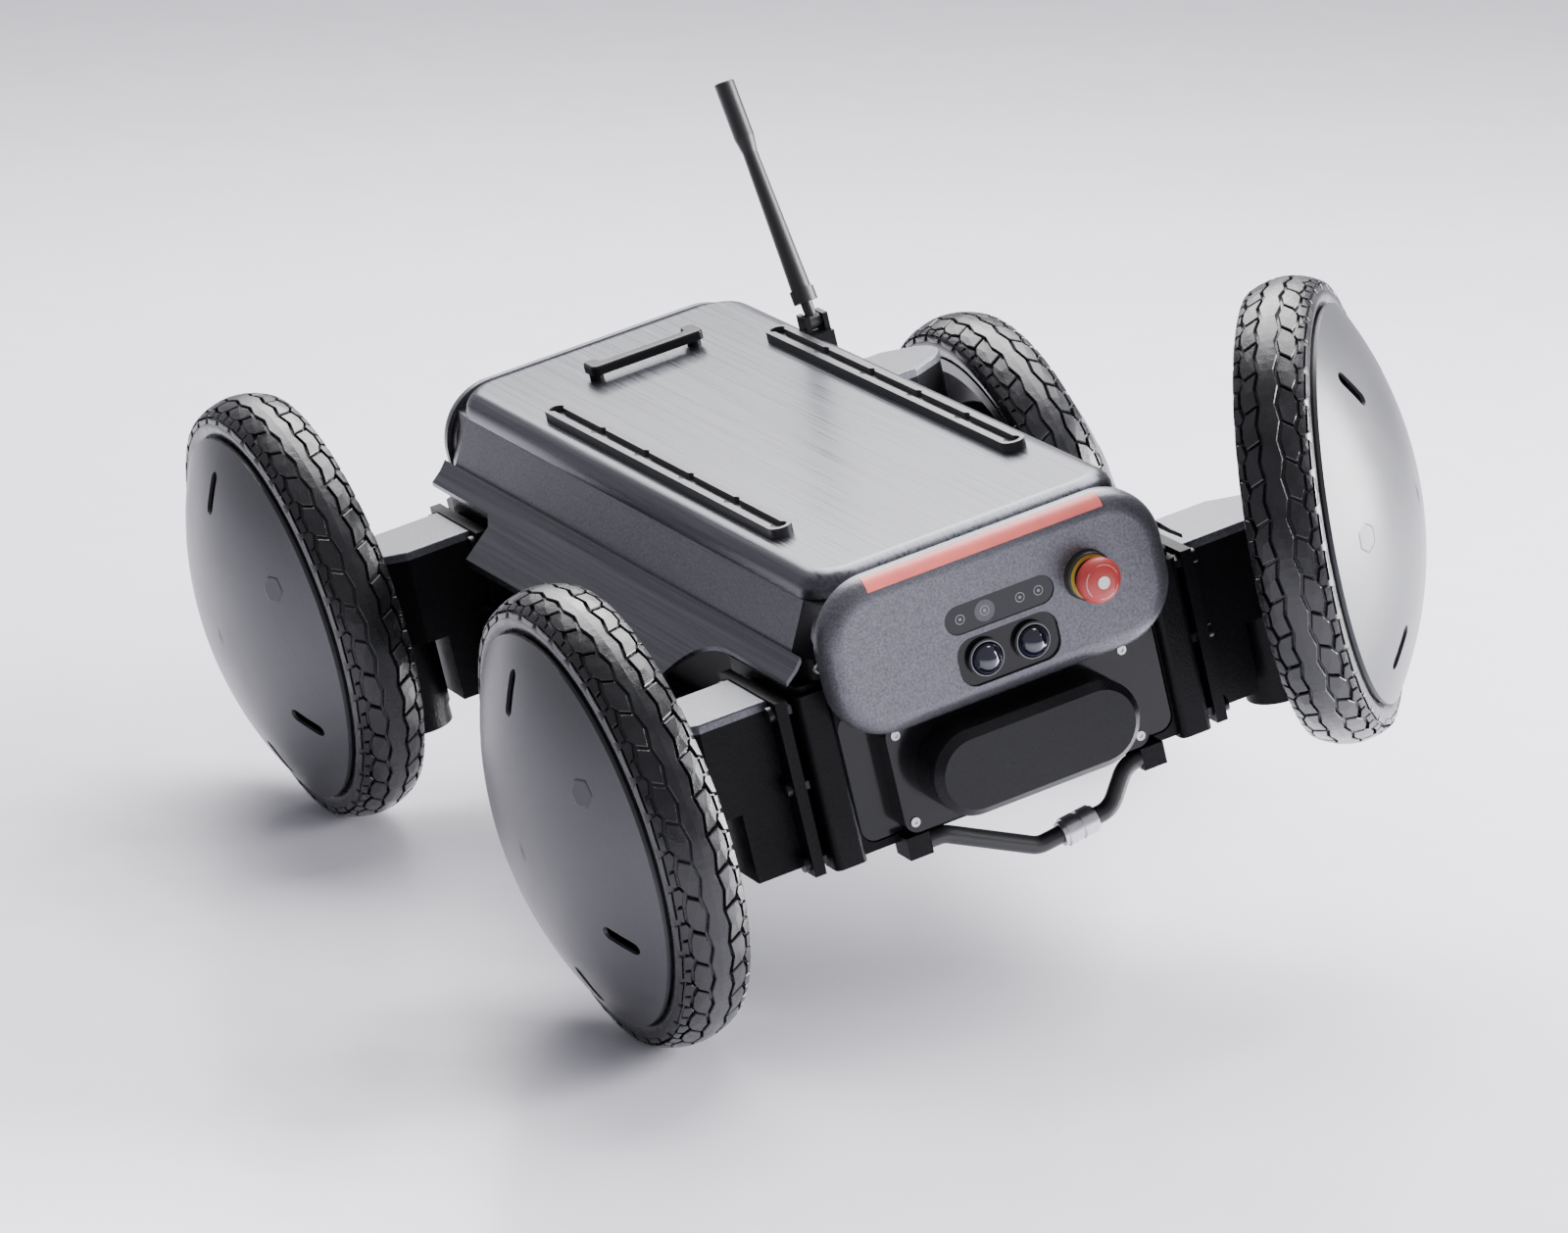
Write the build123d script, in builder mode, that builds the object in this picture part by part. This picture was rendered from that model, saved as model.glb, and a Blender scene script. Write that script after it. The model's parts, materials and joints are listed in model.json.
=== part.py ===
"""Four wheel robot chassis: a flat-topped rover body on four box arms.

Each arm carries a steering knuckle, a vertical wheel lift and a hub-motor wheel.
Frame: +X forward, +Y left, +Z up. The origin is the centre of the belly plate's underside.
The model stands as posed: front left wheel raised and toed in, rear left wheel lowered.
"""

import os
from math import cos, radians, sin

from build123d import *

FIT = 0.05
GAP = 0.4

# body
LID_END = 412.0
SHELL_END = 380.0
RING_BACK = 400.0
LID_HALF = 149.0
LID_CORNER = 42.0
LID_ROLL = 20.0
LID_TOP = 252.0
LID_EDGE = 231.0
LID_SHEET = 2.5
SEAM_HALF = 172.0
SEAM_Z = 187.0
SHELL_WALL = 3.0
CHEEK_HALF = 183.0
CHEEK_TOP = 163.0
FLANGE_LOW = -3.0
FLANGE_HIGH = 157.0
FLANGE_HALF = 58.0

RAIL_Y = 113.0
HANDLE_X = -287.0
HANDLE_Y = 5.0
HANDLE_GAP = 7.0
ANTENNA_PIVOT = (-201.0, 139.0, 265.0)
ANTENNA_LEAN = 21.0

# arms, knuckles and wheels
ARM_X = 335.0
ARM_HALF = 38.0
KINGPIN_Y = 278.0
ARM_IN_Y = 200.4
ARM_TOP = 148.0
ARM_LOW = 2.0
ARM_STEP_Z = 66.0
ARM_STEP_Y = 244.0
ARM_WALL = 4.0
AXLE_LEAD = 25.0
AXLE_OUT = 74.0
TYRE_RADIUS = 203.0
TYRE_HALF = 33.0
RIM_RADIUS = 174.0
DOME_EDGE = 37.0
DOME_HEIGHT = 48.0
SHAFT_RADIUS = 12.0
AXLE_RADIUS = 15.0
FLANGE_BOLT_Z = (8.0, 77.0, 146.0)
FLANGE_BOLT_X = 48.0
SLOT_PITCH = 60.0
SLOT_CIRCLE = 132.0

# each corner: end (+1 front), side (+1 left), axle height, steering angle
CORNERS = {
    "front_right": (1, -1, 102.0, 0.0),
    "front_left": (1, 1, 150.0, -35.0),
    "rear_right": (-1, -1, 120.0, 0.0),
    "rear_left": (-1, 1, -40.0, 0.0),
}
# how far each dome's plug stands above the forward direction, in degrees
PLUG_ANGLES = {
    "front_right": 33.0,
    "front_left": 7.0,
    "rear_right": 29.0,
    "rear_left": 30.0,
}

# front and rear ends
FASCIA_X = 414.0
FASCIA_HALF = 163.0
FASCIA_LOW = 106.0
FASCIA_HIGH = 248.0
FASCIA_CORNER = 56.0
FASCIA_CROWN = 22.0
FASCIA_ROLL = 18.0
FRAME_FACE = 412.0
BAR_HALF = 112.0
PANEL_REACH = 42.6
SCREW_Z = 60.0
CABLE_START_Y = 97.0
CABLE_END_Y = 108.0
CABLE_X = 400.5
CABLE_RADIUS = 8.0
CABLE_LOW = -46.0
ESTOP_Y = 84.0
ESTOP_Z = 184.0


def turn(vector, angle):
    """A flat vector (x, y) turned about Z by an angle in degrees."""
    c = cos(radians(angle))
    s = sin(radians(angle))
    return (c * vector[0] - s * vector[1], s * vector[0] + c * vector[1])


def corner_axes(corner):
    """Kingpin point, and the steered lead and outward directions, as flat vectors."""
    end, side, _, angle = CORNERS[corner]
    lead = turn((end, 0), angle)
    out = turn((0, side), angle)
    return (end * ARM_X, side * KINGPIN_Y), lead, out


def steered_plane(corner, height):
    """A plane on the kingpin: x along the lead direction, z up."""
    pin, lead, _ = corner_axes(corner)
    return Plane(origin=(pin[0], pin[1], height), x_dir=(lead[0], lead[1], 0), z_dir=(0, 0, 1))


def out_sign(corner):
    """+1 where the outward direction is the steered plane's +y."""
    end, side, _, _ = CORNERS[corner]
    return end * side


def axle_point(corner):
    """The wheel's centre."""
    pin, lead, out = corner_axes(corner)
    x = pin[0] + AXLE_LEAD * lead[0] + AXLE_OUT * out[0]
    y = pin[1] + AXLE_LEAD * lead[1] + AXLE_OUT * out[1]
    return (x, y, CORNERS[corner][2])


def wheel_plane(corner):
    """Plane at the wheel's centre: z outward along the axle, x up."""
    _, _, out = corner_axes(corner)
    return Plane(origin=axle_point(corner), x_dir=(0, 0, 1), z_dir=(out[0], out[1], 0))


def wheel_profile_plane(corner):
    """Plane for revolved wheel profiles: x is the radius, y runs outward."""
    frame = wheel_plane(corner)
    return Plane(origin=frame.origin, x_dir=frame.x_dir, z_dir=frame.x_dir.cross(frame.z_dir))


def wheel_axis(corner):
    frame = wheel_plane(corner)
    return Axis(frame.origin, frame.z_dir)


def lid_block(inset, low):
    """A round-cornered block with rolled top edges, the form of the lid."""
    with BuildPart() as block:
        with BuildSketch(Plane.XY.offset(low)):
            RectangleRounded(
                2 * (LID_END - inset), 2 * (LID_HALF - inset), LID_CORNER - inset
            )
        extrude(amount=LID_TOP - inset - low)
        fillet(block.edges().group_by(Axis.Z)[-1], LID_ROLL - inset)
    return block.part


def make_lid():
    """A pressed sheet: flat top, rolled edges and an open underside."""
    with BuildPart() as lid:
        add(lid_block(0, LID_EDGE))
        add(lid_block(LID_SHEET, LID_EDGE - 5), mode=Mode.SUBTRACT)
    return lid.part


def make_body_shell():
    """The tapered side walls between the seam and the lid, closed by end walls."""
    top = LID_EDGE - GAP
    wall = SHELL_WALL
    with BuildPart() as body_shell:
        with BuildSketch(Plane.YZ.offset(-SHELL_END)):
            with BuildLine():
                Polyline(
                    (SEAM_HALF, SEAM_Z),
                    (LID_HALF, top),
                    (-LID_HALF, top),
                    (-SEAM_HALF, SEAM_Z),
                    close=True,
                )
            make_face()
        extrude(amount=2 * SHELL_END)
        with BuildSketch(Plane.YZ.offset(-SHELL_END + wall)):
            with BuildLine():
                Polyline(
                    (SEAM_HALF - wall, SEAM_Z - 1),
                    (LID_HALF - wall, top + 1),
                    (-LID_HALF + wall, top + 1),
                    (-SEAM_HALF + wall, SEAM_Z - 1),
                    close=True,
                )
            make_face()
        extrude(amount=2 * (SHELL_END - wall), mode=Mode.SUBTRACT)
    return body_shell.part


def flange_holes(end, side):
    """Cuts one corner's six flange bolt holes from the part being built."""
    for z in FLANGE_BOLT_Z:
        with Locations((end * ARM_X, side * (ARM_IN_Y - 6.4), z)):
            with Locations((FLANGE_BOLT_X, 0, 0), (-FLANGE_BOLT_X, 0, 0)):
                Cylinder(4.4, 16, rotation=(90, 0, 0), mode=Mode.SUBTRACT)


def make_end_casting(end):
    """The cast end frame: two ribbed cheeks with arm pads, joined by a floor and a face."""
    with BuildPart() as casting:
        with BuildSketch(Plane.XY):
            with Locations((end * 322, 0)):
                RectangleRounded(140, 2 * CHEEK_HALF, 14)
        extrude(amount=CHEEK_TOP)
        with BuildSketch(Plane.XY.offset(CHEEK_TOP - 10)):
            with Locations((end * 322, 0)):
                RectangleRounded(140, 336, 16)
        extrude(amount=SEAM_Z - GAP - CHEEK_TOP + 10)
        with BuildSketch(Plane.XY.offset(FLANGE_LOW)):
            with Locations((end * 384.6, 167.5), (end * 384.6, -167.5)):
                RectangleRounded(30, 30, 6)
        extrude(amount=FLANGE_HIGH - FLANGE_LOW)
        with Locations((end * ARM_X, 0, 75)):
            Box(70, 2 * (ARM_IN_Y - 6.42), 150)
        with Locations((end * ARM_X, 191.98, 77), (end * ARM_X, -191.98, 77)):
            Box(2 * FLANGE_HALF, 4, FLANGE_HIGH - FLANGE_LOW)
        if end > 0:
            with Locations((394, CABLE_END_Y + 11, -4), (394, -CABLE_START_Y - 11, -4)):
                Box(28, 22, 20)
        with BuildSketch(Plane.XY.offset(8)):
            with Locations((end * 310, 0)):
                RectangleRounded(144, 2 * (CHEEK_HALF - 32), 10)
        extrude(amount=SEAM_Z, mode=Mode.SUBTRACT)
        flange_holes(end, 1)
        flange_holes(end, -1)
        with BuildSketch(Plane.YZ.offset(end * 384)):
            with Locations((0, 66)):
                RectangleRounded(302, 118, 14)
        extrude(amount=end * 8, mode=Mode.SUBTRACT)
    return casting.part


def make_side_beams():
    with BuildPart() as side_beams:
        with Locations((0, 168, 35), (0, -168, 35)):
            Box(503, 36, 62)
        with Locations((0, 170, 35), (0, -170, 35)):
            Box(504, 24, 50, mode=Mode.SUBTRACT)
        with Locations((0, 179, 35), (0, -179, 35)):
            Box(503, 14, 62)
    return side_beams.part


def make_belly_plate():
    with BuildPart() as belly_plate:
        with BuildSketch(Plane.XY):
            RectangleRounded(503, 299, 8)
            with GridLocations(440, 240, 2, 2):
                Circle(4.5, mode=Mode.SUBTRACT)
        extrude(amount=4)
    return belly_plate.part


def make_battery_pack():
    with BuildPart() as battery_pack:
        with Locations((0, 0, 4.4)):
            Box(420, 280, 118, align=(Align.CENTER, Align.CENTER, Align.MIN))
        fillet(battery_pack.edges().filter_by(Axis.Z), 8)
        with Locations((0, 0, 122.4)):
            Box(60, 120, 6, align=(Align.CENTER, Align.CENTER, Align.MIN))
    return battery_pack.part


def make_control_box():
    with BuildPart() as control_box:
        with Locations((0, 0, 188)):
            Box(520, 250, 40, align=(Align.CENTER, Align.CENTER, Align.MIN))
        fillet(control_box.edges().filter_by(Axis.Z), 6)
        with Locations((0, 0, 128.9)):
            Box(30, 100, 60, align=(Align.CENTER, Align.CENTER, Align.MIN))
    return control_box.part


def skirt_sheet(side):
    """One flared bright sheet below the seam, cut back over both arms."""
    seam = SEAM_HALF + 0.5
    with BuildPart() as skirt:
        with BuildSketch(Plane.YZ.offset(-400)):
            with BuildLine():
                Polyline(
                    (side * seam, SEAM_Z + 6),
                    (side * (seam + 8), SEAM_Z - 3),
                    (side * 226, 148),
                    (side * 226, 141),
                    (side * 223, 141),
                    (side * 223, 146.5),
                    (side * (seam + 5.5), SEAM_Z - 5),
                    (side * seam, SEAM_Z + 1.5),
                    close=True,
                )
            make_face()
        extrude(amount=850)
        with BuildSketch(Plane.XY.offset(120)):
            with BuildLine():
                Polyline((450.5, side * 190), (290, side * 190))
                Spline(
                    (290, side * 190),
                    (205, side * 231),
                    tangents=[(-1, 0), (-0.5, side * 1)],
                )
                Polyline((205, side * 231), (205, side * 240), (450.5, side * 240))
                Line((450.5, side * 240), (450.5, side * 190))
            make_face()
            with BuildLine():
                Polyline(
                    (-400.5, side * 190),
                    (-262, side * 190),
                    (-246, side * 198),
                    (-246, side * 240),
                    (-400.5, side * 240),
                    close=True,
                )
            make_face()
        extrude(amount=90, mode=Mode.SUBTRACT)
        with BuildSketch(Plane.XY.offset(120)):
            with Locations((430, side * 190)):
                Rectangle(50, 60)
        extrude(amount=90, mode=Mode.SUBTRACT)
    return skirt.part


def make_side_skirts():
    with BuildPart() as side_skirts:
        add(skirt_sheet(1))
        add(skirt_sheet(-1))
    return side_skirts.part


def fascia_outline(grow):
    """The soft upright shield outline of the end covers, drawn in the current sketch."""
    with Locations((0, (FASCIA_LOW + FASCIA_HIGH) / 2)):
        RectangleRounded(
            2 * (FASCIA_HALF + grow),
            FASCIA_HIGH - FASCIA_LOW + 2 * grow,
            FASCIA_CORNER + grow,
        )


def light_bar_block(end, grow):
    """A curved strip let into the rolled top edge of an end cover."""
    x = FASCIA_X + FASCIA_CROWN - FASCIA_ROLL
    z = FASCIA_HIGH - FASCIA_ROLL
    inner = FASCIA_ROLL - 4 - grow
    outer = FASCIA_ROLL + 10 * grow
    low = radians(22 - 2 * grow)
    high = radians(74 + 2 * grow)
    middle = radians(48)
    half = BAR_HALF + grow
    with BuildPart() as block:
        with BuildSketch(Plane.XZ.offset(-half)):
            with BuildLine():
                Line(
                    (end * (x + inner * cos(low)), z + inner * sin(low)),
                    (end * (x + outer * cos(low)), z + outer * sin(low)),
                )
                ThreePointArc(
                    (end * (x + outer * cos(low)), z + outer * sin(low)),
                    (end * (x + outer * cos(middle)), z + outer * sin(middle)),
                    (end * (x + outer * cos(high)), z + outer * sin(high)),
                )
                Line(
                    (end * (x + outer * cos(high)), z + outer * sin(high)),
                    (end * (x + inner * cos(high)), z + inner * sin(high)),
                )
                ThreePointArc(
                    (end * (x + inner * cos(high)), z + inner * sin(high)),
                    (end * (x + inner * cos(middle)), z + inner * sin(middle)),
                    (end * (x + inner * cos(low)), z + inner * sin(low)),
                )
            make_face()
        extrude(amount=2 * half)
    return block.part


def make_fascia(end):
    """End cover: a crowned shield standing on the casting, with rounded face edges."""
    with BuildPart() as fascia:
        with BuildSketch(Plane.YZ.offset(end * FASCIA_X)):
            fascia_outline(0)
        extrude(amount=end * FASCIA_CROWN)
        fillet(fascia.faces().sort_by(Axis.X)[-1 if end > 0 else 0].edges(), FASCIA_ROLL)
        add(light_bar_block(end, 0.4), mode=Mode.SUBTRACT)
        if end > 0:
            with BuildSketch(Plane.YZ.offset(FASCIA_X + FASCIA_CROWN)):
                with Locations((0, 186)):
                    SlotOverall(104, 26)
                with Locations((0, 146)):
                    RectangleRounded(96, 44, 16)
                with Locations((ESTOP_Y, ESTOP_Z)):
                    Circle(22)
            extrude(amount=-6, mode=Mode.SUBTRACT)
            with BuildSketch(Plane.YZ.offset(FASCIA_X)):
                with Locations((ESTOP_Y, ESTOP_Z)):
                    Circle(12)
            extrude(amount=FASCIA_CROWN, mode=Mode.SUBTRACT)
    return fascia.part


def ring_section(low_half, high_half, top):
    """Cross section of a ring above the seam, drawn in the current YZ sketch."""
    with BuildLine() as outline:
        Polyline(
            (low_half, SEAM_Z + GAP),
            (high_half, top),
            (-high_half, top),
            (-low_half, SEAM_Z + GAP),
            close=True,
        )
    make_face(outline.edges())


def make_bezels():
    """The dark rings between the end covers and the body, deeper above the seam."""
    front = FASCIA_X - GAP
    top = LID_EDGE - GAP
    with BuildPart() as bezels:
        for end in (1, -1):
            with BuildSketch(Plane.YZ.offset(end * (RING_BACK + GAP))):
                fascia_outline(-4)
                with Locations((0, LID_EDGE + 40 - GAP)):
                    Rectangle(400, 80, mode=Mode.SUBTRACT)
            extrude(amount=end * (front - RING_BACK - GAP))
            with BuildSketch(Plane.YZ.offset(end * (SHELL_END + GAP))):
                ring_section(SEAM_HALF, LID_HALF - 1, top)
            with BuildSketch(Plane.YZ.offset(end * front)):
                ring_section(FASCIA_HALF - 3, LID_HALF - 4, top)
            loft()
        with Locations((0, 0, 172)):
            Box(3 * LID_END, 260, 90, mode=Mode.SUBTRACT)
        with Locations((0, 0, 214)):
            Box(3 * LID_END, 256, 40, mode=Mode.SUBTRACT)
    return bezels.part


def make_light_bars():
    with BuildPart() as light_bars:
        add(light_bar_block(1, 0))
        add(light_bar_block(-1, 0))
    return light_bars.part


def make_depth_window():
    with BuildPart() as depth_window:
        with BuildSketch(Plane.YZ.offset(FASCIA_X + FASCIA_CROWN - 6 + GAP)):
            with Locations((0, 186)):
                SlotOverall(103, 25)
        extrude(amount=4.4)
    return depth_window.part


def make_twin_lens_module():
    with BuildPart() as module:
        with BuildSketch(Plane.YZ.offset(FASCIA_X + FASCIA_CROWN - 6 + GAP)):
            with Locations((0, 146)):
                RectangleRounded(95, 43, 15)
        extrude(amount=3)
        face_x = FASCIA_X + FASCIA_CROWN - 2.6
        with BuildSketch(Plane.YZ.offset(face_x)):
            with Locations((-22, 146), (22, 146)):
                Circle(17)
        extrude(amount=5)
        with BuildSketch(Plane.YZ.offset(face_x + 1)):
            with Locations((-22, 146), (22, 146)):
                Circle(14.4)
        extrude(amount=5, mode=Mode.SUBTRACT)
    return module.part


def make_camera_lenses():
    face_x = FASCIA_X + FASCIA_CROWN - 2.6
    with BuildPart() as lenses:
        with Locations((face_x + 1.3, -22, 146), (face_x + 1.3, 22, 146)):
            Sphere(14)
        with Locations((face_x - 18.7, 0, 146)):
            Box(40, 120, 60, mode=Mode.SUBTRACT)
    return lenses.part


def make_estop_base():
    with BuildPart() as estop_base:
        with BuildSketch(Plane.YZ.offset(FASCIA_X + FASCIA_CROWN - 6 + GAP)):
            with Locations((ESTOP_Y, ESTOP_Z)):
                Circle(21.6)
                Circle(6 + FIT, mode=Mode.SUBTRACT)
        extrude(amount=14)
        fillet(estop_base.faces().sort_by(Axis.X)[-1].edges().sort_by(SortBy.LENGTH)[-1], 3)
        with BuildSketch(Plane.YZ.offset(FASCIA_X - 8)):
            with Locations((ESTOP_Y, ESTOP_Z)):
                Circle(11.5)
                Circle(6 + FIT, mode=Mode.SUBTRACT)
        extrude(amount=25)
    return estop_base.part


def make_estop_stem():
    """The plunger that the mushroom cap turns on."""
    with BuildPart() as estop_stem:
        with BuildSketch(Plane.YZ.offset(FASCIA_X - 6)):
            with Locations((ESTOP_Y, ESTOP_Z)):
                Circle(6)
        extrude(amount=44)
    return estop_stem.part


def make_estop_cap():
    base_x = FASCIA_X + FASCIA_CROWN + 14.4
    with BuildPart() as estop_cap:
        with BuildSketch(Plane.XY.offset(ESTOP_Z)):
            with BuildLine():
                Line((base_x, ESTOP_Y + 6 + FIT), (base_x, ESTOP_Y + 14))
                Line((base_x, ESTOP_Y + 14), (base_x + 5, ESTOP_Y + 20))
                Line((base_x + 5, ESTOP_Y + 20), (base_x + 9, ESTOP_Y + 20))
                ThreePointArc(
                    (base_x + 9, ESTOP_Y + 20),
                    (base_x + 14.5, ESTOP_Y + 15),
                    (base_x + 17, ESTOP_Y + 6 + FIT),
                )
                Line((base_x + 17, ESTOP_Y + 6 + FIT), (base_x, ESTOP_Y + 6 + FIT))
            make_face()
        revolve(axis=Axis((0, ESTOP_Y, ESTOP_Z), (1, 0, 0)))
        with BuildSketch(Plane.YZ.offset(base_x + 10)):
            with Locations((ESTOP_Y, ESTOP_Z)):
                Circle(7)
        extrude(amount=7.4)
    return estop_cap.part


def make_rails():
    """Two slotted tie-down rails with round notches along a narrow throat."""
    with BuildPart() as rails:
        with BuildSketch(Plane.XY.offset(LID_TOP)):
            with Locations((20, RAIL_Y), (20, -RAIL_Y)):
                SlotOverall(518, 22)
        extrude(amount=9)
        with BuildSketch(Plane.XY.offset(LID_TOP + 3)):
            with Locations((20, RAIL_Y), (20, -RAIL_Y)):
                SlotOverall(500, 9)
        extrude(amount=9, mode=Mode.SUBTRACT)
        with BuildSketch(Plane.XY.offset(LID_TOP + 3)):
            with Locations((20, 0)):
                with GridLocations(99, 2 * RAIL_Y, 6, 2):
                    Circle(7)
        extrude(amount=9, mode=Mode.SUBTRACT)
    return rails.part


def make_handle():
    """A low grab bar whose ends turn to the rear and stand on two feet."""
    ends = ((HANDLE_X - 7, HANDLE_Y + 50), (HANDLE_X - 7, HANDLE_Y - 50))
    with BuildPart() as handle:
        with BuildSketch(Plane.XY.offset(LID_TOP + HANDLE_GAP)):
            with Locations((HANDLE_X, HANDLE_Y)):
                Rectangle(14, 114)
            with Locations(*ends):
                Rectangle(28, 14)
        extrude(amount=9)
        fillet(handle.edges().filter_by(Axis.Z), 6)
        fillet(handle.faces().sort_by(Axis.Z)[-1].edges(), 2.5)
        with BuildSketch(Plane.XY.offset(LID_TOP)):
            with Locations(*ends):
                Circle(6.5)
        extrude(amount=HANDLE_GAP)
    return handle.part


def make_antenna_base():
    """A hinge block on the left shoulder with two cheeks round the whip's pivot."""
    x, y, z = ANTENNA_PIVOT
    with BuildPart() as antenna_base:
        with Locations((x, y, z - 28)):
            Box(34, 23, 20, align=(Align.CENTER, Align.CENTER, Align.MIN))
        with Locations((x, y - 9, z - 8), (x, y + 9, z - 8)):
            Box(20, 5, 16, align=(Align.CENTER, Align.CENTER, Align.MIN))
        with BuildSketch(Plane.XZ.offset(-y - 10)):
            with Locations((x, z)):
                Circle(3)
        extrude(amount=20)
        add(lid_block(-0.02, LID_EDGE - 40), mode=Mode.SUBTRACT)
    return antenna_base.part


def make_antenna_whip():
    """Flexible whip on its knuckle, leaning back from the hinge."""
    x, y, z = ANTENNA_PIVOT
    lean = Plane(
        origin=ANTENNA_PIVOT,
        x_dir=(0, 1, 0),
        z_dir=(-sin(radians(ANTENNA_LEAN)), 0, cos(radians(ANTENNA_LEAN))),
    )
    with BuildPart() as antenna_whip:
        with BuildSketch(lean):
            Circle(5.5)
        extrude(amount=24)
        with BuildSketch(lean.offset(19)):
            Circle(11.5)
        extrude(amount=13)
        with BuildSketch(lean.offset(32)):
            Circle(9.5)
        with BuildSketch(lean.offset(165)):
            Circle(7)
        loft()
        with BuildSketch(lean.offset(165)):
            Circle(7)
        with BuildSketch(lean.offset(180)):
            Circle(9.5)
        loft()
        with BuildSketch(lean.offset(180)):
            Circle(9.5)
        extrude(amount=54)
        fillet(antenna_whip.faces().sort_by(Axis.Z)[-1].edges(), 2)
        with BuildSketch(Plane.XZ.offset(-y - 6)):
            with Locations((x, z)):
                Circle(7.2)
        extrude(amount=12)
        with BuildSketch(Plane.XZ.offset(-y - 20)):
            with Locations((x, z)):
                Circle(3 + FIT)
        extrude(amount=40, mode=Mode.SUBTRACT)
    return antenna_whip.part


def make_panel_frames():
    """Dark frames set into the castings: a back plate with a raised block round the cover."""
    with BuildPart() as panel_frames:
        for end in (1, -1):
            with BuildSketch(Plane.YZ.offset(end * 384.4)):
                with Locations((0, 66)):
                    RectangleRounded(300, 116, 13)
            extrude(amount=end * 6)
            with BuildSketch(Plane.YZ.offset(end * 390)):
                with Locations((0, SCREW_Z)):
                    RectangleRounded(236, 100, 12)
            extrude(amount=end * (FRAME_FACE - 390))
            with BuildSketch(Plane.YZ.offset(end * (FRAME_FACE - 6))):
                with Locations((0, 58)):
                    SlotOverall(181, 62)
            extrude(amount=end * 6, mode=Mode.SUBTRACT)
    return panel_frames.part


def make_panel_covers():
    """Stadium-shaped cover blocks that stand out of the frames."""
    with BuildPart() as panel_covers:
        for end in (1, -1):
            reach = PANEL_REACH if end > 0 else PANEL_REACH / 2
            with BuildSketch(Plane.YZ.offset(end * (FRAME_FACE + GAP))):
                with Locations((0, 58)):
                    SlotOverall(196, 77)
            extrude(amount=end * reach)
            with BuildSketch(Plane.YZ.offset(end * (FRAME_FACE - 5.6))):
                with Locations((0, 58)):
                    SlotOverall(180, 61)
            extrude(amount=end * 6.5)
        chamfer(panel_covers.faces().sort_by(Axis.X)[-1].edges(), 7)
        chamfer(panel_covers.faces().sort_by(Axis.X)[0].edges(), 7)
    return panel_covers.part


def make_face_screws():
    """Socket screws at the corners of both frames."""
    with BuildPart() as face_screws:
        for end in (1, -1):
            with BuildSketch(Plane.YZ.offset(end * (FRAME_FACE + 0.02))):
                with Locations((0, SCREW_Z)):
                    with GridLocations(218, 80, 2, 2):
                        Circle(4.2)
            extrude(amount=end * 1.5)
            with BuildSketch(Plane.YZ.offset(end * (FRAME_FACE + 0.5))):
                with Locations((0, SCREW_Z)):
                    with GridLocations(218, 80, 2, 2):
                        RegularPolygon(2, 6)
            extrude(amount=end * 2, mode=Mode.SUBTRACT)
    return face_screws.part


def make_held_cable():
    """The sensor cable looped below the front cover, its ends butted against two glands."""
    with BuildPart() as held_cable:
        with BuildLine() as route:
            FilletPolyline(
                (CABLE_X, -CABLE_START_Y + 0.02, -4),
                (CABLE_X, -82, -4),
                (CABLE_X, 0, CABLE_LOW),
                (CABLE_X, 72, CABLE_LOW + 8),
                (CABLE_X, 95, -4),
                (CABLE_X, CABLE_END_Y - 0.02, -4),
                radius=22,
            )
        with BuildSketch(Plane(origin=route.wire() @ 0, z_dir=route.wire() % 0)):
            Circle(CABLE_RADIUS)
        sweep()
    return held_cable.part


def make_cable_connector():
    """Knurled metal coupling round the straight run of the cable."""
    run = Plane(
        origin=(CABLE_X, 22, CABLE_LOW + 8 * 22 / 72),
        x_dir=(1, 0, 0),
        z_dir=(0, 72, 8),
    )
    with BuildPart() as cable_connector:
        with BuildSketch(run):
            Circle(11)
            Circle(CABLE_RADIUS + 0.3, mode=Mode.SUBTRACT)
        extrude(amount=34)
        with BuildSketch(run.offset(4)):
            Circle(13)
            Circle(CABLE_RADIUS + 0.3, mode=Mode.SUBTRACT)
        extrude(amount=12)
        with BuildSketch(run.offset(19)):
            Circle(13)
            Circle(CABLE_RADIUS + 0.3, mode=Mode.SUBTRACT)
        extrude(amount=12)
    return cable_connector.part


def arm_outline(corner, grow, end_y):
    """Plan outline of an arm from its root to a rounded end about the kingpin."""
    end, side, _, _ = CORNERS[corner]
    x = end * ARM_X
    half = ARM_HALF + grow
    with BuildLine() as outline:
        Polyline(
            (x + half - 14, side * (KINGPIN_Y + 11 + grow / 2)),
            (x + half, side * (KINGPIN_Y - 14)),
            (x + half, side * end_y),
            (x - half, side * end_y),
            (x - half, side * (KINGPIN_Y - 14)),
            (x - half + 14, side * (KINGPIN_Y + 11 + grow / 2)),
        )
        ThreePointArc(
            (x - half + 14, side * (KINGPIN_Y + 11 + grow / 2)),
            (x, side * (KINGPIN_Y + 26 + grow)),
            (x + half - 14, side * (KINGPIN_Y + 11 + grow / 2)),
        )
    make_face(outline.edges())


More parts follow.
